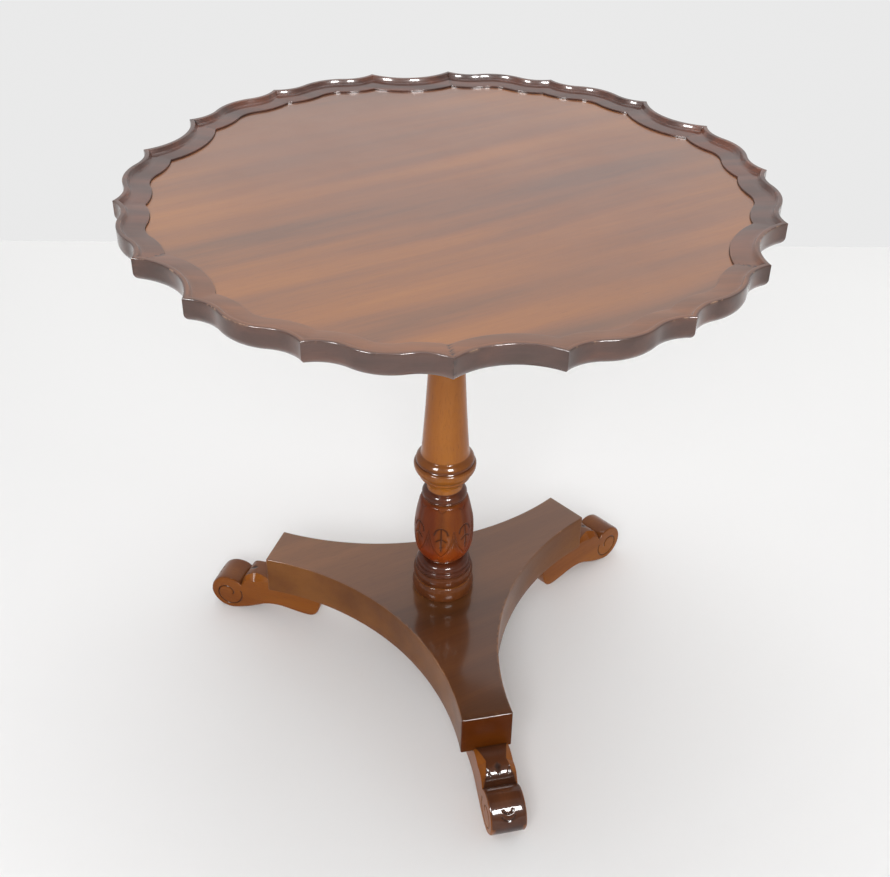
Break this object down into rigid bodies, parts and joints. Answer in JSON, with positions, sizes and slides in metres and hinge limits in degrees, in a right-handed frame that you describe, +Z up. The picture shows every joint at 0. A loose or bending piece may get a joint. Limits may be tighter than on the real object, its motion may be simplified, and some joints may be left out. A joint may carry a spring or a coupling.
{
  "type": "tilt top table",
  "caption": "Pedestal table with a scalloped tray top that tips upright on a hinged block, on a turned column with a three-sided platform and scroll feet.",
  "frame": {"origin": "on the floor under the column's axis, at the centre of the table's box", "axes": "+Z up; +X along the tilt axis and the grain of the top; the catch is on the +Y side and the tilt pivots are on the -Y side"},
  "size_m": [0.6598, 0.6568, 0.636],
  "materials": {
    "panel_wood": "polished straight-grained mahogany",
    "rim_wood": "dark polished mahogany",
    "column_wood": "glossy red-brown mahogany",
    "platform_wood": "polished mahogany",
    "foot_wood": "polished mahogany, dark on top",
    "underframe_wood": "planed and oiled",
    "brass": "dulled brass",
    "steel": "dull steel"
  },
  "bodies": {
    "stand": {"platform": "platform_wood", "column": "column_wood", "bottom_wedge": "underframe_wood", "top_wedge": "underframe_wood", "tilt_block": "underframe_wood", "pivot_pin_left": "steel", "pivot_pin_right": "steel", "strike_plate": "brass", "strike_screw_1": "brass", "strike_screw_2": "brass", "foot_1": "foot_wood", "foot_2": "foot_wood", "foot_3": "foot_wood", "foot_screw_1": "steel", "foot_screw_2": "steel", "foot_screw_3": "steel", "foot_screw_4": "steel", "foot_screw_5": "steel", "foot_screw_6": "steel"},
    "top": {"top_panel": "panel_wood", "rim_segment_1": "rim_wood", "rim_segment_2": "rim_wood", "rim_segment_3": "rim_wood", "rim_segment_4": "rim_wood", "rim_segment_5": "rim_wood", "rim_segment_6": "rim_wood", "bearer_left": "underframe_wood", "bearer_right": "underframe_wood", "bearer_screw_1": "steel", "bearer_screw_2": "steel", "bearer_screw_3": "steel", "bearer_screw_4": "steel", "bearer_screw_5": "steel", "bearer_screw_6": "steel", "bearer_screw_7": "steel", "bearer_screw_8": "steel", "catch_case": "brass", "catch_screw_1": "brass", "catch_screw_2": "brass", "catch_screw_3": "brass", "catch_screw_4": "brass", "bolt_spring": "steel"},
    "bolt": {"catch_bolt": "brass", "catch_knob": "brass"}
  },
  "joints": [
    {"name": "top_tilt", "type": "hinge", "parent": "stand", "child": "top", "pos_m": [0, -0.06, 0.5967], "axis": [1, 0, 0], "range_deg": [0, 90]},
    {"name": "catch_slide", "type": "slide", "parent": "top", "child": "bolt", "axis": [0, -1, 0], "range_m": [0, 0.009]}
  ]
}
